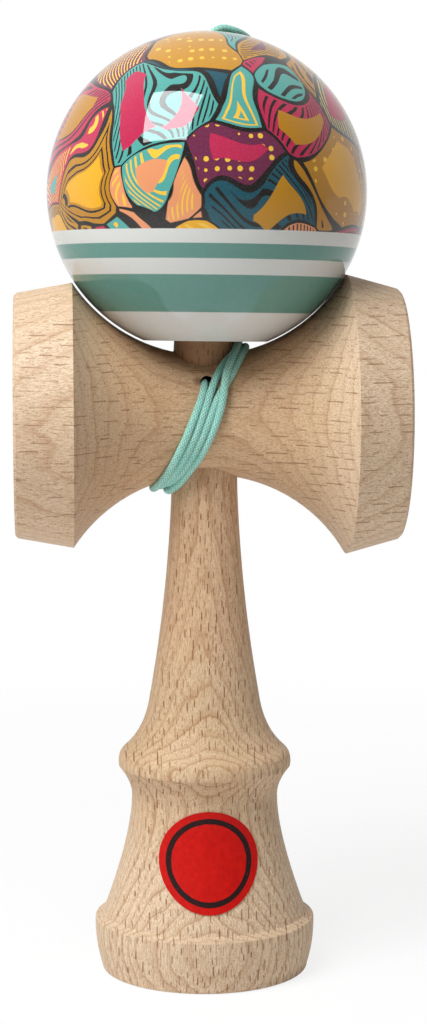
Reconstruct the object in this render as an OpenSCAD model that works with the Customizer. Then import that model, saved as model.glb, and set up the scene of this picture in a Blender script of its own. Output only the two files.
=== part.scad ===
// Kendama standing on its base cup, with the ball on the spike and the string wound round
// the cross piece. The origin is at the middle of the base, the handle runs up Z and the
// cross piece lies along X, with the small cup at -X and the big cup at +X.

/* [Ball] */
// Diameter of the ball
tama_d = 61; // [56:0.5:66]
// Diameter of the hole that takes the spike
tama_hole_d = 21.4; // [20.4:0.2:22.4]
// Width of the bevel round the mouth of that hole
tama_bevel = 1.2; // [0.6:0.1:2]
// Gap between the ball and the saddle that it rests in
seat_gap = 0.35; // [0.25:0.05:0.6]
// Angle that the ball leans back on the spike
tama_lean = 2.8; // [0:0.2:4]
// Angle that the ball leans towards the big cup
tama_side_lean = 0.8; // [0:0.1:1.5]
// Room between the tip of the spike and the end of the hole
tip_room = 4.8; // [3.8:0.2:7]
// Diameter of the bead that carries the string in the ball
bead_d = 8.2; // [7:0.2:9]
// Height of the middle of the bead above the end of the hole
bead_sink = 7; // [6:0.2:8]
// Rounding of the string hole's mouth at the top of the ball
mouth_round = 2.6; // [2:0.1:3.2]

/* [Cross piece] */
// Height of the cross piece's axis above the floor
sarado_z = 108.8; // [104:0.2:114]
// Radius of the saddle at its narrowest
saddle_waist_r = 11.5; // [11:0.1:12.5]
// Distance of the saddle's narrowest place from the handle's axis
saddle_x = 0.5; // [0:0.1:1]
// Length of the big cup's side, from the handle's axis to the rim
big_l = 37.5; // [35:0.1:40]
// Radius of the ridge between the saddle and the big cup
big_ridge_r = 26.9; // [26:0.1:27.8]
// Radius of the big cup's rim
big_rim_r = 24.2; // [23.6:0.1:25]
// Radius of the big cup's hollow
big_cup_r = 21.4; // [20:0.1:22]
// Depth of the big cup's hollow
big_cup_depth = 10.5; // [8:0.1:12]
// Length of the small cup's side, from the handle's axis to the rim
small_l = 36.4; // [34:0.1:39]
// Radius of the ridge between the saddle and the small cup
small_ridge_r = 25.4; // [24.6:0.1:26.2]
// Radius of the small cup's rim
small_rim_r = 23.5; // [22.6:0.1:24]
// Radius of the small cup's hollow
small_cup_r = 19.6; // [18.4:0.1:21]
// Depth of the small cup's hollow
small_cup_depth = 9.5; // [7:0.1:11]
// Chamfer on the edges of both rims
rim_chamfer = 0.5; // [0.3:0.1:0.8]

/* [Handle] */
// Diameter of the foot where the handle meets the floor
foot_d = 40.4; // [38:0.2:42]
// Rounding of the foot's outer edge
foot_round = 1; // [0.5:0.1:1.5]
// Diameter of the base ring
ring_d = 42.9; // [42.2:0.1:45]
// Height of the base ring
ring_h = 10.6; // [9:0.1:12]
// Rounding of the base ring's upper edge
ring_round = 0.6; // [0.3:0.1:0.8]
// Diameter of the base's flare where it rises from the ring
flare_d = 39.7; // [36:0.1:41]
// Radius of the base cup's hollow
base_cup_r = 17; // [15:0.1:17.6]
// Depth of the base cup's hollow
base_cup_depth = 7.5; // [5:0.1:9]
// Diameter of the waist between the base and the collar
waist_d = 28.4; // [26:0.2:30]
// Height of the waist
waist_z = 34.5; // [33:0.1:35.5]
// Diameter of the collar
collar_d = 33.5; // [31:0.1:36]
// Height of the collar's lower edge
collar_z = 40.4; // [38.5:0.1:42]
// Height of the collar from its edge to its shoulder
collar_h = 3.4; // [2.6:0.1:4]
// Diameter of the stem where the collar's cove ends
stem_d = 21.2; // [19:0.1:22]
// Diameter of the stem below the cross piece
seat_d = 12.8; // [12:0.1:13.4]
// Diameter of the neck above the cross piece
neck_d = 11.8; // [11:0.1:11.9]
// Length of the spike above the saddle
spike_l = 35; // [31:0.5:37]
// Diameter of the spike just below its rounded tip
tip_d = 7.6; // [6:0.2:9]
// Clearance all round between the handle's taper and the cross piece's bore
taper_fit = 0.05; // [0.02:0.01:0.1]

/* [Label] */
// Diameter of the round label on the base
label_d = 19; // [14:0.5:20]
// Thickness of the label
label_t = 0.15; // [0.1:0.05:0.3]
// Height of the middle of the label
label_z = 24.6; // [23:0.1:25.4]
// Distance of the label's middle from the handle's axis
label_x = 0; // [-1:0.1:1]
// Gap between the label and the wood
label_gap = 0.05; // [0.03:0.01:0.1]

/* [String] */
// Diameter of the string
cord_d = 1.6; // [1.4:0.1:1.8]
// Gap between the string and the wood that it lies on
cord_gap = 0.3; // [0.25:0.05:0.5]
// Diameter of the holes that the string passes through
cord_hole_d = 2.6; // [2.4:0.1:3]
// Depth of the string hole's middle below the top of the saddle
cord_hole_drop = 4.7; // [4.1:0.1:5.5]
// Diameter of both knots
knot_d = 4.6; // [4.2:0.1:5]
// Clearance all round a knot or the bead where it lies in the wood
knot_room = 0.4; // [0.3:0.1:0.6]

/* [Hidden] */
$fn = 96;
// How far a cutter runs past the surface that it opens
past = 1;

// Seat of the ball: its middle is the middle of the saddle's arc
tama_r = tama_d / 2;
saddle_r = tama_r + seat_gap;
tama_z = sarado_z + saddle_waist_r + saddle_r;

// Height of the string hole above the cross piece's axis
cord_hole_h = saddle_waist_r - cord_hole_drop;

// How much shorter a knot is than it is wide, and how much thicker its core is than the string
knot_squash = 0.4;
knot_core_extra = 0.2;

// Heights along the ball's own axis, from its middle
tip_h = spike_l - saddle_r;
hole_end_h = tip_h + tip_room;
bead_h = hole_end_h + bead_sink;
bead_bore_end_h = bead_h + bead_d / 2 + seat_gap;
knot_l = knot_d - knot_squash;
knot_top_h = bead_h - bead_d / 2;
mouth_h = tama_r - mouth_round;
string_top_h = mouth_h - cord_d;
rim_r = tama_hole_d / 2 + tama_bevel;
rim_h = -sqrt(tama_r * tama_r - rim_r * rim_r);

// How far the handle's taper runs on below and above the saddle
taper_below = 3.3;
taper_above = 1.7;
// Height of the spike's rounded tip, and the share of its width that stays full
tip_round = 2.4;
tip_full = 0.9;

// Heights along the handle
seat_z = sarado_z - saddle_waist_r - taper_below;
neck_z = sarado_z + saddle_waist_r + taper_above;
tip_z = sarado_z + saddle_waist_r + spike_l;

// Radius of the saddle at a distance x along the cross piece
function saddle_at(x) =
    saddle_waist_r + saddle_r - sqrt(saddle_r * saddle_r - (x - saddle_x) * (x - saddle_x));

// Distance along the cross piece from the saddle's narrowest place to where its radius is r
function saddle_reach(r) =
    sqrt(saddle_r * saddle_r - (saddle_r + saddle_waist_r - r) * (saddle_r + saddle_waist_r - r));

// Radius of the handle's taper at a height z
function taper_at(z) =
    (seat_d + (neck_d - seat_d) * (z - seat_z) / (neck_z - seat_z)) / 2;

// Radius of a ball whose cap has the given rim radius and depth
function cap_ball_r(rim, depth) = (rim * rim + depth * depth) / (2 * depth);

// Unit vector along v
function unit(v) = v / norm(v);

// Points on a curve from p towards q, drawn towards c, without the last point
function curve(p, c, q, steps = 10) =
    [for (i = [0 : steps - 1]) let (t = i / steps)
        (1 - t) * (1 - t) * p + 2 * t * (1 - t) * c + t * t * q];

// Rise of the ring's top towards the flare
ring_top_rise = 0.7;
// How much the collar narrows up to its shoulder
collar_fall = 1.05;
// Height of the cove between the collar's shoulder and the stem
cove_h = 10.7;

// Corners of the handle's outline, as radius and height
foot_r = foot_d / 2;
ring_r = ring_d / 2;
ring_top = [ring_r - ring_round, ring_h];
ledge = [flare_d / 2, ring_h + ring_top_rise];
waist = [waist_d / 2, waist_z];
collar = [collar_d / 2, collar_z];
shoulder = [collar_d / 2 - collar_fall, collar_z + collar_h];
stem = [stem_d / 2, shoulder[1] + cove_h];
seat = [seat_d / 2, seat_z];

// How far from those corners the places lie that the curves are drawn towards
ring_bulge = 0.1;
flare_reach = 8;
waist_reach = 2.8;
collar_bulge = 0.3;
collar_bulge_at = 0.7;
cove_bulge = 0.9;
cove_reach = 3.7;
stem_bulge = 0.7;

ring_pull = [ring_r + ring_bulge, ring_h / 2];
flare_pull = [waist[0], waist_z - flare_reach];
waist_pull = [waist[0], waist_z + waist_reach];
collar_pull = [collar[0] + collar_bulge, collar_z + collar_bulge_at * collar_h];
cove_pull = [stem[0] + cove_bulge, shoulder[1] + cove_reach];
stem_pull = [seat[0] + stem_bulge, (stem[1] + seat_z) / 2];

// The base above its ring, which the label lies on
flare_curve = concat(
    curve(ledge, flare_pull, waist, 14),
    curve(waist, waist_pull, collar, 8)
);
ken_outline = concat(
    [[0, 0]],
    curve([foot_r - foot_round, 0], [foot_r, 0], [foot_r, foot_round], 5),
    curve([foot_r, foot_round], ring_pull, [ring_r, ring_h - ring_round], 8),
    curve([ring_r, ring_h - ring_round], [ring_r, ring_h], ring_top, 4),
    [ring_top],
    flare_curve,
    curve(collar, collar_pull, shoulder, 8),
    curve(shoulder, cove_pull, stem, 10),
    curve(stem, stem_pull, seat, 12),
    [seat, [neck_d / 2, neck_z]],
    curve([tip_d / 2, tip_z - tip_round], [tip_full * tip_d / 2, tip_z], [0, tip_z], 8),
    [[0, tip_z]]
);

// Places children on the ball's axis, with the ball's middle as their origin
module on_tama_axis() {
    translate([saddle_x, 0, tama_z])
        rotate([-tama_lean, tama_side_lean, 0])
            children();
}

// Lays children that stand on Z along the cross piece's axis
module on_cross_axis() {
    translate([0, 0, sarado_z])
        rotate([0, 90, 0])
            children();
}

// Lays children that stand on Z along the string hole, pointing to the back
module on_cord_hole() {
    translate([0, 0, sarado_z + cord_hole_h])
        rotate([-90, 0, 0])
            children();
}

// Where the string hole widens for the knot, behind the handle's axis
anchor_step_y = 0.8;

// Handle: base cup, base ring, collar, stem, taper and spike turned from one piece
module ken() {
    cup_r = cap_ball_r(base_cup_r, base_cup_depth);
    hole_l = seat_d + anchor_step_y + past;
    color("burlywood")
        difference() {
            rotate_extrude() polygon(ken_outline);
            translate([0, 0, base_cup_depth - cup_r]) sphere(r = cup_r);
            on_cord_hole() {
                translate([0, 0, -seat_d]) cylinder(d = cord_hole_d, h = hole_l);
                translate([0, 0, anchor_step_y]) cylinder(d = knot_d + 2 * knot_room, h = seat_d);
            }
        }
}

// Outline of the cross piece as radius and distance, before its saddle is cut
small_ridge = [small_ridge_r, saddle_x - saddle_reach(small_ridge_r)];
big_ridge = [big_ridge_r, saddle_x + saddle_reach(big_ridge_r)];
small_rim = [small_rim_r, -small_l + rim_chamfer];
big_rim = [big_rim_r, big_l - rim_chamfer];
// Share of each bell's slope that runs on past its ridge, for the saddle to cut
run_on = 0.15;
sarado_outline = [
    [0, -small_l],
    [small_rim_r - rim_chamfer, -small_l],
    small_rim,
    small_ridge + run_on * (small_ridge - small_rim),
    big_ridge + run_on * (big_ridge - big_rim),
    big_rim,
    [big_rim_r - rim_chamfer, big_l],
    [0, big_l]
];

// Hollow of a cup that opens at height 0 towards +Z, with a chamfered lip
module cup(rim, depth) {
    r = cap_ball_r(rim, depth);
    translate([0, 0, r - depth]) sphere(r = r);
    translate([0, 0, -rim_chamfer])
        cylinder(r1 = rim - rim_chamfer, r2 = rim + rim_chamfer, h = 2 * rim_chamfer);
}

// Cross piece: its saddle is cut by a ring whose section fits the ball
module sarado() {
    bore_bottom = sarado_z - saddle_waist_r - past;
    bore_top = sarado_z + saddle_waist_r + past;
    color("wheat")
        difference() {
            on_cross_axis() difference() {
                rotate_extrude() polygon(sarado_outline);
                rotate_extrude()
                    translate([saddle_waist_r + saddle_r, saddle_x])
                        circle(r = saddle_r);
                translate([0, 0, big_l]) cup(big_cup_r, big_cup_depth);
                translate([0, 0, -small_l]) mirror([0, 0, 1]) cup(small_cup_r, small_cup_depth);
            }
            translate([0, 0, bore_bottom])
                cylinder(
                    r1 = taper_at(bore_bottom) + taper_fit,
                    r2 = taper_at(bore_top) + taper_fit,
                    h = bore_top - bore_bottom
                );
            on_cord_hole()
                translate([0, 0, -2 * saddle_waist_r])
                    cylinder(d = cord_hole_d, h = 2 * saddle_waist_r);
        }
}

// Ball: spike hole with its bevel below, bead bore above it, string hole at the top
module tama() {
    bead_bore_d = bead_d + 2 * knot_room;
    hole_r = cord_hole_d / 2;
    mouth = concat(
        [[0, mouth_h]],
        curve([hole_r, mouth_h], [hole_r, tama_r], [hole_r + mouth_round, tama_r], 6),
        [[hole_r + mouth_round, tama_r], [hole_r + mouth_round, tama_r + past], [0, tama_r + past]]
    );
    color("darkcyan")
        on_tama_axis() difference() {
            sphere(r = tama_r);
            translate([0, 0, -tama_r]) cylinder(d = tama_hole_d, h = tama_r + hole_end_h);
            translate([0, 0, rim_h - 2 * past])
                cylinder(
                    r1 = rim_r + 2 * past,
                    r2 = tama_hole_d / 2,
                    h = tama_bevel + 2 * past
                );
            translate([0, 0, hole_end_h - past])
                cylinder(d = bead_bore_d, h = bead_bore_end_h - hole_end_h + past);
            cylinder(d = cord_hole_d, h = tama_r);
            rotate_extrude() polygon(mouth);
        }
}

// Bead inside the ball, drilled for the string
module bead() {
    color("gold")
        on_tama_axis() translate([0, 0, bead_h]) difference() {
            sphere(d = bead_d);
            cylinder(d = cord_hole_d, h = bead_d + past, center = true);
        }
}

// Label: a thin disc that follows the base's flare
module label() {
    band = concat(
        [for (p = flare_curve) p + [label_gap, 0]],
        [for (i = [len(flare_curve) - 1 : -1 : 0]) flare_curve[i] + [label_gap + label_t, 0]]
    );
    color("firebrick")
        intersection() {
            rotate_extrude() polygon(band);
            translate([label_x, 0, label_z]) rotate([90, 0, 0]) cylinder(d = label_d, h = ring_d);
        }
}

// Knot on Z that starts at height 0 and runs down: two turns of string round a core
module knot() {
    cord_r = cord_d / 2;
    turn_r = knot_d / 2 - cord_r;
    translate([0, 0, -knot_l]) cylinder(d = cord_d + knot_core_extra, h = knot_l);
    for (h = [cord_r, knot_l - cord_r])
        translate([0, 0, -h]) rotate_extrude() translate([turn_r, 0]) circle(r = cord_r, $fn = 32);
}

// Where the straight string in the cross piece and the handle starts, and where its knot does
anchor_start_y = -7.2;
anchor_end_y = anchor_step_y + knot_room;

// String in the cross piece and the handle, up to its knot
module string_anchor() {
    color("mediumaquamarine")
        on_cord_hole()
            translate([0, 0, anchor_start_y])
                cylinder(d = cord_d, h = anchor_end_y - anchor_start_y);
}

// Knot behind the step in the handle's string hole
module anchor_knot() {
    color("mediumaquamarine")
        on_cord_hole() translate([0, 0, anchor_end_y]) mirror([0, 0, 1]) knot();
}

// String in the ball, from the knot under the bead to the mouth of the string hole
module string_in_tama() {
    color("mediumaquamarine")
        on_tama_axis() translate([0, 0, knot_top_h]) cylinder(d = cord_d, h = string_top_h - knot_top_h);
}

// Knot under the bead
module bead_knot() {
    color("mediumaquamarine")
        on_tama_axis() translate([0, 0, knot_top_h]) knot();
}

// Winding: where the string crosses the cross piece at each half turn, along X, first over the
// top beside the neck and then under the bottom beside the stem
turn_x = [3, -11, 7, -8.6, 9, -7.5, 7.7, -9.8, -7.4];
// How late in each half turn the string swings across, with 1 for an even swing
turn_delay = [1, 1.2, 0.9, 1, 1.5, 1.4, 1.2, 0.8];
// Lift off the first layer at each quarter turn, in the order front, bottom, back, top
turn_lift = [0, 0, 0, 0, 0, 0, 0, 0, 0, 2.2, 1.8, 2, 2, 2.4, 1.8];
rings_per_turn = 24;
quarter_rings = rings_per_turn / 4;
// Height of the string's middle over the wood in the first layer
lay_h = cord_d / 2 + cord_gap;
// Places where the string leaves its hole, before it joins the first turn
lead = [
    [0, anchor_start_y, cord_hole_h],
    [0, -9.2, cord_hole_h],
    [-0.1, -10.5, cord_hole_h - 0.1],
    [-0.7, -11.7, cord_hole_h - 1.1],
    [-1.7, -12.4, cord_hole_h - 3],
    [-2.9, -12.8, cord_hole_h - 5]
];

// Value of a list at a place between two of its entries, eased
function eased(list, at, delay) = let (
        i = min(floor(at), len(list) - 2),
        share = pow((1 - cos(180 * (at - i))) / 2, delay)
    ) list[i] + share * (list[i + 1] - list[i]);

// Point of the winding after a number of quarter turns from the front
function wound(q) = let (
        half = (q + 1) / 2,
        x = eased(turn_x, half, turn_delay[floor(half)]),
        r = saddle_at(x) + lay_h + eased(turn_lift, q, 1)
    ) [x, -r * cos(90 * q), -r * sin(90 * q)];

wound_points = [for (k = [0 : quarter_rings * (len(turn_lift) - 1)]) wound(k / quarter_rings)];
wound_end = wound_points[len(wound_points) - 1];
wound_before = wound_points[len(wound_points) - 2];
end_run = cord_d * unit(wound_end - wound_before);
winding_points = [for (p = concat(lead, wound_points, [wound_end + end_run])) p + [0, 0, sarado_z]];

// Rise: places from the end of the winding, up behind the ball and over it to its string hole
rise_start = winding_points[len(winding_points) - 1];
rise_places = [
    [-5.8, 17.6, 116.5], [-4.2, 19.6, 120.5], [-3.6, 21.6, 124.5], [-3.5, 23.6, 128.5],
    [-3.7, 25.6, 132.3], [-4, 27.5, 136], [-3.9, 29.3, 139.7], [-3, 30.8, 144],
    [-1.2, 31.7, 148.4], [1.6, 31.8, 152.8], [4.3, 31, 157.2], [6.8, 29.4, 161.5],
    [8.8, 27.1, 165.6], [10.2, 24.2, 169.4], [10.9, 20.8, 172.8], [10.9, 17.4, 175.8],
    [10.8, 13.9, 178.1], [10.2, 10.3, 180], [9, 6.9, 181.4], [7.2, 4.3, 182.2]
];
// The last stretch turns down into the hole round its rounded mouth
mouth_heading = 24;
mouth_bend_r = cord_hole_d / 2 + mouth_round;
mouth_steps = 5;
mouth_points = [for (k = [1 : mouth_steps - 1]) let (
        a = 90 * k / mouth_steps,
        out = mouth_bend_r * (1 - sin(a)),
        up = mouth_h + mouth_bend_r * cos(a)
    ) [out * cos(mouth_heading), out * sin(mouth_heading), up]];

// The ball's axis and a point given in its frame, in the part's frame
function from_tama(p) = let (
        y = p[1] * cos(tama_lean) + p[2] * sin(tama_lean),
        z = -p[1] * sin(tama_lean) + p[2] * cos(tama_lean)
    ) [
        saddle_x + p[0] * cos(tama_side_lean) + z * sin(tama_side_lean),
        y,
        tama_z - p[0] * sin(tama_side_lean) + z * cos(tama_side_lean)
    ];

rise_points = concat(
    [rise_start, rise_start + end_run],
    rise_places,
    [for (p = concat(mouth_points, [[0, 0, mouth_h], [0, 0, string_top_h]])) from_tama(p)]
);

// Direction of a path at point i
function heading(path, i) =
    unit(path[min(i + 1, len(path) - 1)] - path[max(i - 1, 0)]);

// Tube along a path, its sides counted from the direction closest to side
module tube(path, side, sides) {
    last = len(path) - 1;
    points = [for (i = [0 : last]) let (
            along = heading(path, i),
            across = unit(side - (side * along) * along),
            up = cross(along, across)
        ) for (k = [0 : sides - 1]) let (a = 360 * k / sides)
            path[i] + cord_d / 2 * (cos(a) * across + sin(a) * up)];
    walls = [for (i = [0 : last - 1]) for (k = [0 : sides - 1]) let (
            a = i * sides + k,
            b = i * sides + (k + 1) % sides
        ) for (face = [[a, b + sides, b], [a, a + sides, b + sides]]) face];
    near_end = [for (k = [1 : sides - 2]) [0, k, k + 1]];
    far_end = [for (k = [1 : sides - 2]) [0, k + 1, k] + last * sides * [1, 1, 1]];
    polyhedron(points = points, faces = concat(walls, near_end, far_end));
}

// String from its hole in the cross piece round and round the saddle
module string_winding() {
    color("mediumaquamarine") tube(winding_points, side = [1, 0, 0], sides = 6);
}

// String from the winding up behind the ball to the mouth of its string hole
module string_rise() {
    color("mediumaquamarine")
        tube(rise_points, side = [sin(mouth_heading), -cos(mouth_heading), 0], sides = 8);
}

// Length of a path
function path_length(path, i = 0) =
    i >= len(path) - 1 ? 0 : norm(path[i + 1] - path[i]) + path_length(path, i + 1);

// Least gap between turns of the winding, measured on points between its rings
between = 4;
fine = [for (i = [0 : len(winding_points) - 2]) for (k = [0 : between - 1])
    winding_points[i] + k / between * (winding_points[i + 1] - winding_points[i])];
apart = between * quarter_rings;
turn_gap = min([for (i = [0 : len(fine) - 1 - apart]) for (j = [i + apart : len(fine) - 1])
    norm(fine[i] - fine[j])]) - cord_d;
echo(str("Least gap between turns of the string: ", turn_gap, " mm"));
echo(str("Wound string: ", path_length(winding_points), " mm"));
echo(str("Rising string: ", path_length(rise_points), " mm"));

ken();
sarado();
tama();
bead();
label();
string_anchor();
anchor_knot();
string_winding();
string_rise();
string_in_tama();
bead_knot();
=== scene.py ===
"""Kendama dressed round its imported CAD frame: beech, a lacquered ball and a braided string."""

import math

import bmesh
import bpy
from mathutils import Matrix, Vector


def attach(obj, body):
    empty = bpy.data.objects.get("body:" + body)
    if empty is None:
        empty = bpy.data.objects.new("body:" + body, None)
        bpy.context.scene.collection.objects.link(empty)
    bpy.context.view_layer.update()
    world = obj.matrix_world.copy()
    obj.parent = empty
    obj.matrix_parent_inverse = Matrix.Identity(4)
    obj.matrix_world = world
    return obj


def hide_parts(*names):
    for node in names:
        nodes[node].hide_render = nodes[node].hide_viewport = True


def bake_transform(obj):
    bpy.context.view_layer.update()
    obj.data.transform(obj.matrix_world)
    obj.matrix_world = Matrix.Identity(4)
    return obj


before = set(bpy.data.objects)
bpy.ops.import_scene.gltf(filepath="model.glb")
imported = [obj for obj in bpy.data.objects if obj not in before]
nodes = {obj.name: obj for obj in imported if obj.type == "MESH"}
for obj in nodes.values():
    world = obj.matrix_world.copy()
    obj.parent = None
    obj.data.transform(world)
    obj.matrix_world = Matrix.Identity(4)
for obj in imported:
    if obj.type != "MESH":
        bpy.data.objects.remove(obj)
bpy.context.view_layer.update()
scene = bpy.context.scene
MM = 0.001

# Sizes repeated from the part's source, in millimetres
SARADO_Z = 108.8
TAMA_CENTRE = Vector((0.5, 0, 151.15))
TAMA_LEAN = math.radians(2.8)
TAMA_SIDE_LEAN = math.radians(0.8)
HOLE_Z = 115.6
CORD_D = 1.6
MOUTH_H = 27.9
KNOT_TOP_H = 11.85
LABEL_Z = 24.6

TAMA_TURN = Matrix.Rotation(TAMA_SIDE_LEAN, 3, "Y") @ Matrix.Rotation(-TAMA_LEAN, 3, "X")
TAMA_AXIS = TAMA_TURN @ Vector((0, 0, 1))

# Camera fitted to the photograph: place in millimetres, focal length in the photograph's pixels
CAMERA_PLACE = Vector((-28.28, -498.25, 150.8))
CAMERA_YAW = math.radians(3.45)
CAMERA_PITCH = math.radians(6.95)
FOCUS_PX = 2600
PHOTO_H_PX = 1024


def make_camera():
    data = bpy.data.cameras.new("camera")
    data.sensor_fit = "AUTO"
    data.sensor_width = 36
    data.lens = data.sensor_width * FOCUS_PX / PHOTO_H_PX
    data.clip_start, data.clip_end = 0.01, 20
    camera = bpy.data.objects.new("camera", data)
    scene.collection.objects.link(camera)
    camera.location = CAMERA_PLACE * MM
    level = math.cos(CAMERA_PITCH)
    ahead = Vector((math.sin(CAMERA_YAW) * level, math.cos(CAMERA_YAW) * level, -math.sin(CAMERA_PITCH)))
    camera.rotation_euler = ahead.to_track_quat("-Z", "Y").to_euler()
    scene.camera = camera


make_camera()

# Route of the string in millimetres: out of its hole and round the saddle, then up behind the ball
WOUND = [
    (0, 1.2, 115.6), (-0.11, -2.8, 115.55), (-0.33, -6.29, 115.51), (-0.41, -7.49, 115.49),
    (-0.46, -8.68, 115.36), (-0.55, -9.8, 114.94), (-0.77, -10.7, 114.2), (-1.09, -11.35, 113.24),
    (-1.56, -11.85, 111.91), (-2.49, -12.31, 109.53), (-3.46, -12.33, 107.12), (-4.44, -11.93, 104.75),
    (-5.44, -11.11, 102.5), (-6.43, -9.92, 100.41), (-7.39, -8.39, 98.55), (-8.34, -6.55, 96.98),
    (-9.19, -4.43, 95.74), (-9.8, -2.04, 94.94), (-9.92, 0.53, 94.76), (-9.42, 3.03, 95.27),
    (-8.58, 5.27, 96.27), (-7.61, 7.25, 97.65), (-6.64, 8.97, 99.33), (-5.69, 10.39, 101.28),
    (-4.7, 11.45, 103.44), (-3.7, 12.1, 105.75), (-2.65, 12.33, 108.11), (-1.52, 12.15, 110.44),
    (-0.39, 11.56, 112.71), (0.72, 10.58, 114.84), (1.82, 9.25, 116.78), (2.93, 7.6, 118.45),
    (4.11, 5.73, 119.81), (5.47, 3.76, 120.83), (6.43, 1.45, 121.48), (6.49, -1.13, 121.52),
    (5.63, -3.49, 120.93), (4.28, -5.48, 119.96), (3.04, -7.35, 118.65), (1.93, -9.04, 117.02),
    (0.98, -10.46, 115.07), (0.16, -11.5, 112.83), (-0.64, -12.1, 110.44), (-1.51, -12.23, 107.99),
    (-2.48, -11.91, 105.61), (-3.52, -11.2, 103.34), (-4.58, -10.1, 101.23), (-5.63, -8.66, 99.35),
    (-6.66, -6.91, 97.73), (-7.62, -4.87, 96.42), (-8.34, -2.55, 95.53), (-8.6, 0, 95.21),
    (-8.18, 2.53, 95.57), (-7.33, 4.81, 96.48), (-6.33, 6.83, 97.77), (-5.33, 8.6, 99.38),
    (-4.36, 10.08, 101.28), (-3.35, 11.2, 103.4), (-2.32, 11.92, 105.68), (-1.25, 12.21, 108.02),
    (-0.07, 12.1, 110.33), (1.23, 11.62, 112.53), (2.54, 10.79, 114.61), (3.75, 9.61, 116.59),
    (4.83, 8.05, 118.36), (5.85, 6.19, 119.85), (6.89, 4.1, 121), (7.73, 1.77, 121.74),
    (7.88, -0.81, 121.88), (7.34, -3.29, 121.35), (6.56, -5.55, 120.34), (5.68, -7.55, 118.93),
    (4.65, -9.21, 117.22), (3.4, -10.46, 115.33), (2.11, -11.39, 113.26), (1.09, -12, 110.96),
    (0.18, -12.18, 108.53), (-0.8, -11.92, 106.14), (-1.85, -11.24, 103.86), (-2.92, -10.18, 101.75),
    (-3.99, -8.77, 99.85), (-5.07, -7.05, 98.23), (-6.1, -5.06, 96.91), (-6.93, -2.79, 95.98),
    (-7.22, -0.25, 95.61), (-6.82, 2.29, 95.91), (-5.96, 4.59, 96.75), (-4.93, 6.63, 97.99),
    (-3.93, 8.44, 99.56), (-2.91, 9.94, 101.42), (-1.88, 11.09, 103.5), (-0.86, 12.04, 105.7),
    (0.02, 12.82, 108.01), (0.73, 13.16, 110.49), (1.36, 12.82, 112.98), (2.03, 11.8, 115.26),
    (2.82, 10.32, 117.24), (3.71, 8.59, 118.97), (4.67, 6.72, 120.5), (5.55, 4.67, 121.83),
    (6.26, 2.33, 122.68), (6.6, -0.22, 122.94), (6.29, -2.77, 122.56), (5.65, -5.05, 121.52),
    (4.82, -7.07, 120.11), (4.02, -9.05, 118.63), (3.42, -10.89, 116.9), (3.06, -12.15, 114.67),
    (2.65, -12.5, 112.14), (1.99, -12.36, 109.63), (1.13, -12.09, 107.19), (0.17, -11.53, 104.84),
    (-0.88, -10.57, 102.67), (-1.98, -9.26, 100.72), (-3.12, -7.71, 98.97), (-4.24, -6.11, 97.25),
    (-5.5, -4.5, 95.65), (-6.66, -2.45, 94.6), (-7.14, 0.07, 94.3), (-7.23, 2.66, 94.56),
    (-7.32, 5.17, 95.19), (-7.44, 7.52, 96.3), (-7.56, 9.36, 98.1), (-7.49, 10.6, 100.38),
    (-7.39, 11.77, 102.71), (-7.29, 12.85, 105.07), (-7.16, 13.91, 107.44), (-6.92, 14.95, 109.81),
    (-6.53, 15.96, 112.17), (-6.06, 16.95, 114.53), (-5.48, 17.92, 116.87), (-4.74, 18.93, 119.15),
    (-4.2, 19.6, 120.5),
]
RISE = [
    (-3.6, 21.6, 124.5), (-3.5, 23.6, 128.5), (-3.7, 25.6, 132.3), (-4, 27.5, 136),
    (-3.9, 29.3, 139.7), (-3, 30.8, 144), (-1.1, 31.6, 148.4), (1.6, 31.6, 152.8),
    (4.3, 30.8, 157.2), (6.8, 29.2, 161.5), (8.8, 26.9, 165.5), (10.1, 24, 169.2),
    (10.7, 20.6, 172.5), (10.8, 17.2, 175.2), (10.6, 13.6, 177.5), (9.9, 10.1, 179.3),
    (8.9, 7.1, 180.45), (7.9, 5.4, 181.1), (6.5, 4.1, 181.75), (5.15, 3.38, 182.12),
]

# Bend over the rounded mouth of the hole at the top of the ball, and depths in that hole
MOUTH_HEADING = math.radians(24)
MOUTH_BEND_R = 3.4
MOUTH_STEPS = 5
HOLE_DEPTHS = (3, 7, 11)

# Distance between points of the string and of a knot, and sides of their tubes
STRING_STEP, STRING_SIDES = 0.22, 20
KNOT_STEP, KNOT_SIDES = 0.24, 16

# Tied knot: length, half width and points of its loops
KNOT_LENGTH, KNOT_WIDE, KNOT_POINTS = 4.2, 1.35, 60

# Braid: strands each way round the cord, millimetres along it for one strand, and the radius of
# its core and of the strands on it as shares of the cord's radius, which is less where it is pulled tight
BRAID_STRANDS = 8
BRAID_PITCH = 0.8
BRAID_CORE, BRAID_RELIEF = 0.83, 0.1

# Length of cord in millimetres for one unit of UV
UV_LENGTH = 100


def string_route():
    """Points from the anchor knot to the knot under the bead."""
    points = [Vector(p) for p in WOUND + RISE]
    across = Vector((math.cos(MOUTH_HEADING), math.sin(MOUTH_HEADING), 0))
    for k in range(MOUTH_STEPS + 1):
        a = math.radians(90 * k / MOUTH_STEPS)
        own = across * MOUTH_BEND_R * (1 - math.sin(a)) + Vector((0, 0, MOUTH_H + MOUTH_BEND_R * math.cos(a)))
        points.append(TAMA_CENTRE + TAMA_TURN @ own)
    for h in [MOUTH_H - depth for depth in HOLE_DEPTHS] + [KNOT_TOP_H]:
        points.append(TAMA_CENTRE + TAMA_AXIS * h)
    return points


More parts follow.
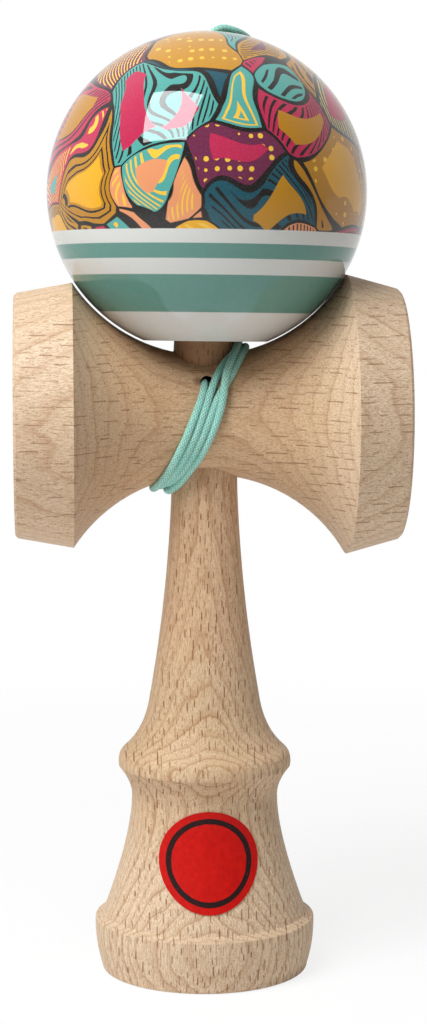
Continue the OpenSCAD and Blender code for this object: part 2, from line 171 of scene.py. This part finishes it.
def smooth_route(points, step):
    """The route on one smooth curve, with points a step apart, and its length."""
    fine = []
    for i in range(len(points) - 1):
        p0, p1, p2, p3 = (points[max(min(j, len(points) - 1), 0)] for j in (i - 1, i, i + 1, i + 2))
        count = max(4, int((p2 - p1).length / 0.1))
        for k in range(count):
            t = k / count
            fine.append(0.5 * (2 * p1 + (p2 - p0) * t + (2 * p0 - 5 * p1 + 4 * p2 - p3) * t ** 2
                               + (3 * p1 - p0 - 3 * p2 + p3) * t ** 3))
    fine.append(points[-1])
    total = sum((b - a).length for a, b in zip(fine, fine[1:]))
    spacing = total / round(total / step)
    even, gone = [fine[0]], 0.0
    for a, b in zip(fine, fine[1:]):
        length = (b - a).length
        while length > 0 and gone + length >= spacing:
            a = a + (b - a) * ((spacing - gone) / length)
            even.append(a)
            length, gone = (b - a).length, 0.0
        gone += length
    if (even[-1] - fine[-1]).length > spacing / 2:
        even.append(fine[-1])
    return even, total


def braid_height(around, along):
    """Height of a braid's surface from 0 to 1: two sets of strands, each over and under the other."""
    u = BRAID_STRANDS * around + along / BRAID_PITCH
    v = BRAID_STRANDS * around - along / BRAID_PITCH
    over = 1 if (math.floor(u) + math.floor(v)) % 2 == 0 else -1
    return max(math.sin(math.pi * (u % 1)) * (0.75 + 0.25 * over),
               math.sin(math.pi * (v % 1)) * (0.75 - 0.25 * over))


def tube_mesh(name, route, sides):
    """Braided tube along a route in millimetres, with its length and turn as UV."""
    bm = bmesh.new()
    uv = bm.loops.layers.uv.new("UVMap")
    side = Vector((1, 0, 0))
    rings, lengths, along = [], [], 0.0
    for i, p in enumerate(route):
        ahead = (route[min(i + 1, len(route) - 1)] - route[max(i - 1, 0)]).normalized()
        side = (side - ahead * side.dot(ahead)).normalized()
        up = ahead.cross(side)
        if i:
            along += (p - route[i - 1]).length
        ring = []
        for k in range(sides):
            a = 2 * math.pi * k / sides
            r = CORD_D / 2 * (BRAID_CORE + BRAID_RELIEF * braid_height(k / sides, along))
            ring.append(bm.verts.new((p + (side * math.cos(a) + up * math.sin(a)) * r) * MM))
        rings.append(ring)
        lengths.append(along)
    for i in range(len(rings) - 1):
        for k in range(sides):
            j = (k + 1) % sides
            face = bm.faces.new((rings[i][k], rings[i][j], rings[i + 1][j], rings[i + 1][k]))
            face.smooth = True
            for loop, (s, a) in zip(face.loops, ((i, k), (i, k + 1), (i + 1, k + 1), (i + 1, k))):
                loop[uv].uv = (lengths[s] / UV_LENGTH, a / sides)
    bm.faces.new(reversed(rings[0]))
    bm.faces.new(rings[-1])
    bm.normal_update()
    mesh = bpy.data.meshes.new(name)
    bm.to_mesh(mesh)
    bm.free()
    made = bpy.data.objects.new(name, mesh)
    scene.collection.objects.link(made)
    return made


route, string_length = smooth_route(string_route(), STRING_STEP)
string = tube_mesh("string", route, STRING_SIDES)


class Tree:
    """Short calls for building the nodes of a material or world."""

    def __init__(self, owner):
        self.owner = owner
        owner.use_nodes = True
        self.nodes = owner.node_tree.nodes
        self.links = owner.node_tree.links
        self.nodes.clear()

    def put(self, socket, value):
        if isinstance(value, bpy.types.NodeSocket):
            self.links.new(value, socket)
        else:
            socket.default_value = value

    def add(self, kind, inputs=(), **settings):
        node = self.nodes.new(kind)
        for key, value in settings.items():
            setattr(node, key, value)
        for key, value in dict(inputs).items():
            self.put(node.inputs[key], value)
        return node

    def math(self, operation, *values):
        node = self.add("ShaderNodeMath", operation=operation)
        for socket, value in zip(node.inputs, values):
            self.put(socket, value)
        return node.outputs[0]

    def times(self, first, second):
        return self.math("MULTIPLY", first, second)

    def plus(self, first, second):
        return self.math("ADD", first, second)

    def minus(self, first, second):
        return self.math("SUBTRACT", first, second)

    def vector(self, operation, *values):
        node = self.add("ShaderNodeVectorMath", operation=operation)
        for socket, value in zip(node.inputs, values):
            self.put(socket, value)
        return node.outputs["Value" if operation in ("DOT_PRODUCT", "LENGTH", "DISTANCE") else "Vector"]

    def split(self, vector):
        return self.add("ShaderNodeSeparateXYZ", {"Vector": vector}).outputs

    def join(self, x, y, z):
        return self.add("ShaderNodeCombineXYZ", {"X": x, "Y": y, "Z": z}).outputs[0]

    def coordinates(self, kind):
        return self.add("ShaderNodeTexCoord").outputs[kind]

    def place(self):
        """Object coordinates in millimetres."""
        return self.vector("MULTIPLY", self.coordinates("Object"), (1000, 1000, 1000))

    def scaled(self, vector, scale):
        return self.vector("MULTIPLY", vector, scale if isinstance(scale, tuple) else (scale,) * 3)

    def noise(self, vector, scale, detail=2.0, roughness=0.5):
        node = self.add("ShaderNodeTexNoise", {"Vector": self.scaled(vector, scale), "Scale": 1.0,
                                               "Detail": detail, "Roughness": roughness})
        return node.outputs["Fac"]

    def cells(self, vector, scale, feature="F1", randomness=1.0):
        node = self.add("ShaderNodeTexVoronoi", {"Vector": self.scaled(vector, scale), "Scale": 1.0,
                                                 "Randomness": randomness}, feature=feature)
        return node.outputs

    def ramp(self, value, stops, interpolation="LINEAR"):
        node = self.add("ShaderNodeValToRGB", {"Fac": value})
        band = node.color_ramp
        band.interpolation = interpolation
        while len(band.elements) < len(stops):
            band.elements.new(1.0)
        for element, (at, colour) in zip(band.elements, stops):
            element.position = at
            element.color = (*colour, 1)
        return node.outputs["Color"]

    def level(self, value, low, high, to_low=0.0, to_high=1.0):
        """Value mapped from one range to another, and held at its ends."""
        node = self.add("ShaderNodeMapRange", {"Value": value, "From Min": low, "From Max": high,
                                               "To Min": to_low, "To Max": to_high}, clamp=True)
        return node.outputs[0]

    def mix(self, share, first, second):
        node = self.add("ShaderNodeMix", data_type="RGBA")
        self.put(node.inputs[0], share)
        for socket, colour in ((node.inputs[6], first), (node.inputs[7], second)):
            self.put(socket, colour if isinstance(colour, bpy.types.NodeSocket) else (*colour, 1))
        return node.outputs[2]

    def bump(self, height, distance, strength):
        inputs = {"Height": height, "Distance": distance, "Strength": strength}
        return self.add("ShaderNodeBump", inputs).outputs[0]

    def finish(self, **inputs):
        shader = self.add("ShaderNodeBsdfPrincipled")
        for key, value in inputs.items():
            self.put(shader.inputs[key.replace("_", " ")], value)
        self.add("ShaderNodeOutputMaterial", {"Surface": shader.outputs[0]})
        return self.owner


def rgb(red, green, blue):
    """Linear colour from screen values of 0 to 255."""
    def one(value):
        value /= 255
        return value / 12.92 if value <= 0.04045 else ((value + 0.055) / 1.055) ** 2.4
    return (one(red), one(green), one(blue))


# Beech: early wood in two colours, late wood, flecks, and a darker patch of chipped wood with painted shade
WOOD_LIGHT = rgb(226, 201, 169)
WOOD_MID = rgb(212, 184, 150)
WOOD_DARK = rgb(162, 115, 73)
WOOD_FLECK = rgb(126, 75, 39)
WOOD_CHIP_AND_SHADE = rgb(116, 80, 52)

# Darkness across one growth layer, from early wood to the late wood's edge
LAYER_STOPS = ((0.0, 0.55), (0.05, 0.06), (0.5, 0.0), (0.86, 0.35), (0.96, 0.8), (1.0, 0.55))

# Share of the cells that have a fleck
FLECK_SHARE = 0.88


def flecks(t, own, cell, size):
    """Short thin marks along the grain, at most one in each cell, so that they don't crowd."""
    length, width = size
    scaled = t.vector("DIVIDE", own, cell)
    ray = t.cells(scaled, 1.0, randomness=0.9)
    off = t.vector("ABSOLUTE", t.vector("MULTIPLY", t.vector("SUBTRACT", scaled, ray["Position"]), cell))
    along, across, _ = t.split(off)
    pick, weight, reach = t.split(ray["Color"])
    over = t.minus(along, t.level(reach, 0.0, 1.0, 0.22 * length, 0.5 * length))
    mark = t.times(t.level(over, -0.25, 0.15, 1.0, 0.0), t.level(across, 0.3 * width, 0.6 * width, 1.0, 0.0))
    mark = t.times(mark, t.math("LESS_THAN", pick, FLECK_SHARE))
    return t.times(mark, t.level(weight, 0.0, 1.0, 0.3, 1.0))


def beech(name, *, grain, middle, pith, spacing, lines, fleck_cell, fleck_size, fleck_depth, phase,
          chip_and_shade=None, painted_tones=()):
    """Beech as a solid, in a frame of its own round its middle: grain along X, growth layers across Z.

    Sizes are in millimetres. pith is the tree's middle in depth and across, spacing a layer's thickness, and
    phase shifts the patterns. chip_and_shade is a darker patch of chipped wood with painted shade beside the
    string hole. painted_tones are painted light and shade along the grain; each has the places where it
    starts, is full, ends and is gone, then its share and colour.
    """
    t = Tree(bpy.data.materials.new(name))
    x, y, z = t.split(t.vector("SUBTRACT", t.place(), middle))
    own = t.join(x, z, y) if grain == "X" else t.join(z, x, y)
    along, tangent, depth = t.split(own)
    own = t.vector("ADD", own, (phase, phase, phase))

    # Growth layers: wide arcs round a far pith, bent by slow waves
    slow = t.noise(own, (0.014, 0.05, 0.05), 2)
    wave = t.noise(own, (0.05, 0.17, 0.17), 3)
    away = t.math("SQRT", t.plus(t.math("POWER", t.minus(depth, pith[0]), 2.0),
                                 t.math("POWER", t.minus(tangent, pith[1]), 2.0)))
    away = t.plus(away, t.plus(t.times(wave, 2.2), t.times(slow, 4.5)))
    count = t.times(away, 1 / spacing)
    late = t.ramp(t.math("FRACT", count), [(at, (dark,) * 3) for at, dark in LAYER_STOPS])
    strength = t.level(t.noise(t.join(t.math("FLOOR", count), phase, 0.0), 0.9, 0), 0.3, 0.7, 0.5, 1.0)

    # Fine fibres, pores and ray flecks along the grain. Flecks are thin sheets, dark only where they are cut
    fibre = t.noise(own, (0.5, 4.6, 4.6), 3, 0.65)
    pore = t.noise(own, (2.4, 7.0, 7.0), 2, 0.7)
    facing = t.split(t.coordinates("Normal"))[2 if grain == "X" else 0]
    edge_on = t.level(t.math("ABSOLUTE", facing), 0.78, 0.95, 1.0, 0.12)
    mark = t.times(flecks(t, own, fleck_cell, fleck_size), edge_on)
    small = t.cells(own, (1.6, 6.5, 0.3))
    tick = t.times(t.math("GREATER_THAN", t.split(small["Color"])[0], 0.84),
                   t.level(small["Distance"], 0.2, 0.5, 1.0, 0.0))
    tick = t.times(tick, edge_on)

    colour = t.mix(t.level(slow, 0.3, 0.7), WOOD_LIGHT, WOOD_MID)
    # Painted light and shade: colours laid along the grain, paler where light falls and darker where shade
    # falls
    for (start, full, end, gone), share, painted_colour in painted_tones:
        painted_share = t.times(t.level(along, start, full, 0.0, share), t.level(along, end, gone, 1.0, 0.0))
        colour = t.mix(painted_share, colour, painted_colour)
    colour = t.mix(t.times(t.times(late, strength), lines), colour, WOOD_DARK)
    colour = t.mix(t.level(fibre, 0.4, 0.68, 0.0, 0.6), colour, WOOD_DARK)
    colour = t.mix(t.level(pore, 0.44, 0.66, 0.0, 0.36), colour, WOOD_DARK)
    colour = t.mix(t.times(tick, 0.65), colour, WOOD_FLECK)
    colour = t.mix(t.times(mark, fleck_depth), colour, WOOD_FLECK)
    # Darker patch beside the string hole: chipped wood, and painted shade at the hole's mouth
    if chip_and_shade:
        near = t.vector("DISTANCE", t.place(), chip_and_shade)
        rough = t.plus(near, t.level(pore, 0.2, 0.8, -0.35, 0.35))
        colour = t.mix(t.level(rough, 0.7, 1.5, 0.75, 0.0), colour, WOOD_CHIP_AND_SHADE)
    height = t.minus(t.times(t.plus(fibre, pore), 0.4), t.plus(t.times(mark, 0.8), t.times(tick, 0.3)))
    return t.finish(Base_Color=colour, Roughness=t.level(fibre, 0.2, 0.8, 0.52, 0.66),
                    Normal=t.bump(height, 0.00007, 0.8), Specular_IOR_Level=0.3)


# Print on the ball: where its pattern is cut, the size of its pebbles in millimetres, and its colours
PRINT_SHIFT = (37, 12, 5)
PEBBLE_SIZE = 14.5
INK = rgb(26, 22, 22)
PALETTE = [rgb(178, 122, 20), rgb(22, 78, 92), rgb(218, 142, 98), rgb(186, 130, 22), rgb(180, 36, 76),
           rgb(224, 162, 24), rgb(104, 36, 68), rgb(78, 156, 148)]

# Heights on the ball, from its middle: the print's lower edge and the two mint bands
PRINT_H = -7.8
BANDS = ((-13.0, -10.3), (-22.7, -15.9))
BAND_EDGE = 0.06


def lacquer():
    """Glossy ball: a mosaic of pebbles above, bands of mint and white below."""
    t = Tree(bpy.data.materials.new("ball_lacquer"))
    own = t.vector("SUBTRACT", t.place(), tuple(TAMA_CENTRE))
    height = t.vector("DOT_PRODUCT", own, tuple(TAMA_AXIS))

    # Pebbles with wavy edges
    shifted = t.vector("ADD", own, PRINT_SHIFT)
    bend = t.add("ShaderNodeTexNoise", {"Vector": shifted, "Scale": 0.075, "Detail": 0.0}).outputs["Color"]
    bend = t.vector("MULTIPLY", t.vector("SUBTRACT", bend, (0.5, 0.5, 0.5)), (16, 16, 16))
    bent = t.vector("ADD", shifted, bend)
    pebble = 1 / PEBBLE_SIZE
    cell = t.cells(bent, pebble, randomness=0.9)
    edge = t.times(t.cells(bent, pebble, "DISTANCE_TO_EDGE", 0.9)["Distance"], 1 / pebble)
    red, green, blue = t.split(cell["Color"])
    stops = [(i / len(PALETTE), c) for i, c in enumerate(PALETTE)]
    outer = t.ramp(red, stops, "CONSTANT")
    inner = t.ramp(t.math("FRACT", t.plus(red, t.math("MULTIPLY_ADD", green, 0.5, 0.25))), stops, "CONSTANT")
    lines = t.mix(t.math("GREATER_THAN", blue, 0.5), INK, rgb(232, 184, 60))

    # Each pebble has a core, and a rim that is hatched, ringed or dotted
    lean = t.vector("NORMALIZE", t.vector("SUBTRACT", cell["Color"], (0.5, 0.5, 0.5)))
    run = t.vector("DOT_PRODUCT", bent, lean)
    stripe = t.math("LESS_THAN", t.math("FRACT", t.times(run, 0.95)), 0.36)
    ring = t.math("LESS_THAN", t.math("FRACT", t.times(edge, 0.9)), 0.3)
    dot = t.math("LESS_THAN", t.cells(own, 0.5, randomness=0.2)["Distance"], 0.26)
    striped = t.math("LESS_THAN", green, 0.55)
    dotted = t.math("GREATER_THAN", green, 0.8)
    ringed = t.minus(t.minus(1.0, striped), dotted)
    mark = t.plus(t.plus(t.times(striped, stripe), t.times(ringed, ring)), t.times(dotted, dot))
    start = t.math("MULTIPLY_ADD", blue, 1.4, 2.3)
    core = t.level(t.minus(edge, start), 0.0, 0.12)
    zone = t.times(t.level(edge, 0.7, 0.8), t.minus(1.0, core))
    printed = t.mix(t.times(zone, mark), outer, lines)
    printed = t.mix(core, printed, inner)

    # Ink between the pebbles, of uneven width, and a faint grain
    gap = t.level(t.noise(own, 0.09, 1), 0.35, 0.65, 0.12, 0.55)
    printed = t.mix(t.level(t.minus(edge, gap), -0.06, 0.06, 1.0, 0.0), printed, INK)
    printed = t.mix(t.level(t.noise(own, 4.5, 2), 0.45, 0.75, 0.0, 0.035), printed, rgb(240, 226, 204))

    # Bands by height along the ball's own axis
    def above(limit):
        return t.level(height, limit - BAND_EDGE, limit + BAND_EDGE)

    def below(limit):
        return t.level(height, limit - BAND_EDGE, limit + BAND_EDGE, 1.0, 0.0)

    soft = t.noise(own, 0.8, 2)
    white = t.mix(t.level(soft, 0.3, 0.7, 0.0, 0.08), rgb(208, 208, 204), rgb(188, 185, 179))
    mint = t.mix(t.level(soft, 0.3, 0.7, 0.0, 0.2), rgb(94, 141, 130), rgb(78, 127, 115))
    narrow, wide = (t.times(above(low), below(high)) for low, high in BANDS)
    colour = t.mix(t.plus(narrow, wide), white, mint)
    colour = t.mix(above(PRINT_H), colour, printed)
    return t.finish(Base_Color=colour, Roughness=t.level(soft, 0.3, 0.7, 0.3, 0.36), Specular_IOR_Level=0.0,
                    Coat_Weight=1.0, Coat_Roughness=0.02, Coat_IOR=1.5)


def sticker():
    """Red label with a worn dark ring."""
    t = Tree(bpy.data.materials.new("label"))
    place = t.place()
    x, _, z = t.split(place)
    out = t.vector("LENGTH", t.join(x, 0.0, t.minus(z, LABEL_Z)))
    mottle = t.noise(place, 0.9, 4, 0.6)
    speck = t.noise(place, 4.5, 2)
    red = t.mix(t.level(mottle, 0.3, 0.7), rgb(200, 20, 12), rgb(180, 12, 10))
    red = t.mix(t.level(speck, 0.62, 0.75, 0.0, 0.2), red, rgb(222, 60, 46))
    wavy = t.plus(out, t.times(t.minus(mottle, 0.5), 0.2))
    band = t.times(t.level(wavy, 7.12, 7.24), t.level(wavy, 8.16, 8.28, 1.0, 0.0))
    band = t.times(band, t.level(speck, 0.28, 0.36, 0.6, 1.0))
    colour = t.mix(band, red, rgb(36, 22, 22))
    return t.finish(Base_Color=colour, Roughness=t.level(speck, 0.3, 0.7, 0.4, 0.52),
                    Normal=t.bump(mottle, 0.00003, 0.5), Specular_IOR_Level=0.15)


def cord_braid():
    """Mint braided polyester, with its strands drawn along the tube."""
    t = Tree(bpy.data.materials.new("string"))
    length, turn, _ = t.split(t.coordinates("UV"))
    along = t.times(length, UV_LENGTH / BRAID_PITCH)
    around = t.times(turn, float(BRAID_STRANDS))
    u = t.plus(around, along)
    v = t.minus(around, along)

    # The even number keeps the sum above zero, where the modulo is simple
    parity = t.math("MODULO", t.plus(t.math("FLOOR", u), t.plus(t.math("FLOOR", v), 2000.0)), 2.0)
    rise_u, rise_v = (t.math("SINE", t.times(t.math("FRACT", w), math.pi)) for w in (u, v))
    top = t.plus(t.times(rise_u, t.minus(1.0, parity)), t.times(rise_v, parity))
    place = t.place()
    fuzz_and_glints = t.noise(place, 9.0, 2)
    patch = t.noise(place, 0.3, 2)
    # Painted shade in the gaps between the strands and painted highlight on their tops
    colour = t.mix(t.level(top, 0.1, 0.95), rgb(40, 130, 114), rgb(178, 238, 224))
    colour = t.mix(t.level(patch, 0.35, 0.65, 0.0, 0.3), colour, rgb(112, 206, 190))
    # Painted glints: pale specks where the fine noise is high
    colour = t.mix(t.level(fuzz_and_glints, 0.5, 0.72, 0.0, 0.55), colour, rgb(230, 251, 245))
    height = t.plus(top, t.times(fuzz_and_glints, 0.3))
    return t.finish(Base_Color=colour, Roughness=t.level(top, 0.0, 1.0, 0.72, 0.5),
                    Normal=t.bump(height, 0.00009, 0.8), Sheen_Weight=0.2, Sheen_Roughness=0.4)


def wear(target, material):
    target.data.materials.clear()
    target.data.materials.append(material)


# Materials of the CAD nodes that stay in sight
ken_wood = beech(
    "handle_wood", grain="Z", middle=(0, 0, 40), pith=(70, 3), spacing=1.35, lines=0.95,
    fleck_cell=(2.8, 1.45, 6.0), fleck_size=(2.3, 0.25), fleck_depth=0.92, phase=3.7,
    # Painted shade: the neck under the ball darker and browner
    painted_tones=[((72.0, 79.0, 82.0, 92.0), 0.7, rgb(132, 80, 42)),
           # Painted light: the foot paler, as lit from below by the floor
           ((-42.0, -41.0, -20.0, -2.0), 0.5, rgb(240, 222, 197)),
           # Painted shade: the stem warmer and deeper, as wood in shade lit warmly by the wood round it
           ((18.0, 28.0, 60.0, 70.0), 0.3, rgb(216, 165, 130))])
cross_wood = beech(
    "cross_wood", grain="X", middle=(0, 0, SARADO_Z), pith=(80, -4), spacing=2.3, lines=0.62,
    fleck_cell=(5.6, 1.75, 6.0), fleck_size=(4.2, 0.25), fleck_depth=0.64, phase=11.3,
    # Darker patch beside the string hole: chipped wood with painted shade
    chip_and_shade=(-1.5, -9.6, 116.3),
    # Painted shade: the saddle under the ball deeper and browner
    painted_tones=[((-24.0, -15.0, 15.0, 24.0), 0.32, rgb(202, 150, 106)),
           # Painted light: the cups paler where the light falls on them
           ((-60.0, -59.0, -27.0, -20.0), 0.25, rgb(240, 222, 204)),
           ((20.0, 27.0, 59.0, 60.0), 0.4, rgb(240, 222, 200))])
bead_wood = beech(
    "bead", grain="Z", middle=tuple(TAMA_CENTRE), pith=(20, 3), spacing=2.1, lines=0.7,
    fleck_cell=(1.6, 1.0, 4.0), fleck_size=(1.3, 0.2), fleck_depth=0.6, phase=7.1)
for node, material in (("ken", ken_wood), ("sarado", cross_wood), ("tama", lacquer()),
                       ("bead", bead_wood), ("label", sticker())):
    wear(nodes[node], material)

# String, its two knots and what they replace
braid = cord_braid()
wear(string, braid)
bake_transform(string)
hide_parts("string_anchor", "string_winding", "string_rise", "string_in_tama")


def make_knot(name, place, turn, body, node):
    """A knot pulled tight, from a place back along the turned Z."""
    points = []
    for k in range(KNOT_POINTS + 1):
        a = 2 * math.pi * k / KNOT_POINTS
        own = Vector((KNOT_WIDE * (math.sin(a) + 2 * math.sin(2 * a)) / 3,
                      KNOT_WIDE * (math.cos(a) - 2 * math.cos(2 * a)) / 3,
                      -KNOT_LENGTH / 2 + 0.28 * KNOT_LENGTH * math.sin(3 * a)))
        points.append(place + turn @ own)
    even, _ = smooth_route(points, KNOT_STEP)
    made = tube_mesh(name, even, KNOT_SIDES)
    wear(made, braid)
    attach(made, body)
    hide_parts(node)
    return made


anchor_knot = make_knot("anchor_knot_tied", Vector((0, 1.2, HOLE_Z)), Matrix.Rotation(math.pi / 2, 3, "X"),
                        "handle", "anchor_knot")
bead_knot = make_knot("bead_knot_tied", TAMA_CENTRE + TAMA_AXIS * KNOT_TOP_H, TAMA_TURN, "bead", "bead_knot")

# Surroundings: their brightness and colour as light, and their brightness in front as the lacquer mirrors it
WORLD_LIGHT = 0.23
WORLD_TINT = (1, 0.94, 0.87)
WORLD_FRONT = 0.25

# Floor: how much of its white it keeps at the part's foot, and where it is full white, in millimetres
FLOOR_NEAR = 0.84
FLOOR_FADE = (120.0, 320.0)


def make_floor():
    """Pale floor that fades to the white of the backdrop."""
    bm = bmesh.new()
    bmesh.ops.create_grid(bm, x_segments=2, y_segments=2, size=4)
    mesh = bpy.data.meshes.new("floor")
    bm.to_mesh(mesh)
    bm.free()
    floor = bpy.data.objects.new("floor", mesh)
    scene.collection.objects.link(floor)
    t = Tree(bpy.data.materials.new("floor"))
    rays = t.add("ShaderNodeLightPath").outputs
    shiny = t.math("MAXIMUM", rays["Is Glossy Ray"], rays["Is Transmission Ray"])
    place = t.place()
    far = t.level(t.vector("LENGTH", place), *FLOOR_FADE, FLOOR_NEAR, 1.0)
    mirrored = t.times(far, t.level(t.split(place)[1], -100.0, 100.0, WORLD_FRONT, 1.0))
    pale = t.add("ShaderNodeBsdfDiffuse", {"Color": (0.92, 0.92, 0.92, 1)})
    white = t.add("ShaderNodeEmission", {"Color": (1, 1, 1, 1), "Strength": 1.0})
    share = t.plus(t.times(rays["Is Camera Ray"], far), t.times(shiny, mirrored))
    blend = t.add("ShaderNodeMixShader", {0: share, 1: pale.outputs[0], 2: white.outputs[0]})
    t.add("ShaderNodeOutputMaterial", {"Surface": blend.outputs[0]})
    mesh.materials.append(t.owner)


def make_world():
    """White to the camera and in reflections of the backdrop, dimmer as light and in front."""
    scene.world = bpy.data.worlds.new("studio")
    t = Tree(scene.world)
    rays = t.add("ShaderNodeLightPath").outputs
    seen = rays["Is Camera Ray"]
    shiny = t.math("MAXIMUM", rays["Is Glossy Ray"], rays["Is Transmission Ray"])
    _, y, _ = t.split(t.coordinates("Generated"))
    mirrored = t.times(shiny, t.level(y, -0.3, 0.3, WORLD_FRONT, 1.0))
    strength = t.plus(mirrored, t.times(t.minus(1.0, shiny), t.level(seen, 0.0, 1.0, WORLD_LIGHT, 1.0)))
    colour = t.mix(t.math("MAXIMUM", seen, shiny), WORLD_TINT, (1, 1, 1))
    light = t.add("ShaderNodeBackground", {"Color": colour, "Strength": strength})
    t.add("ShaderNodeOutputWorld", {"Surface": light.outputs[0]})


def make_light(name, place, target, across, size, power, colour=(1, 1, 1)):
    """Soft panel that faces a target, with its width along a direction."""
    data = bpy.data.lights.new(name, "AREA")
    data.shape = "RECTANGLE"
    data.size, data.size_y = size
    data.energy = power
    data.color = colour
    light = bpy.data.objects.new(name, data)
    scene.collection.objects.link(light)
    back = (Vector(place) - Vector(target)).normalized()
    side = (Vector(across) - back * back.dot(Vector(across))).normalized()
    turn = Matrix((side, back.cross(side), back)).transposed()
    light.matrix_world = Matrix.Translation(Vector(place)) @ turn.to_4x4()
    return light


make_floor()
make_world()
make_light("softbox", place=(-0.284, -0.31, 0.708), target=(0, 0, 0.151), across=(0.834, -0.532, 0.145),
           size=(0.38, 0.46), power=6.9, colour=(0.94, 0.98, 1.0))
left_panel = make_light("left_panel", place=(-1.3, -0.45, 0.25), target=(0, 0, 0.09), across=(0, 1, 0),
                        size=(0.8, 0.8), power=2.7)
left_panel.visible_glossy = False
scene.view_settings.view_transform = "Standard"
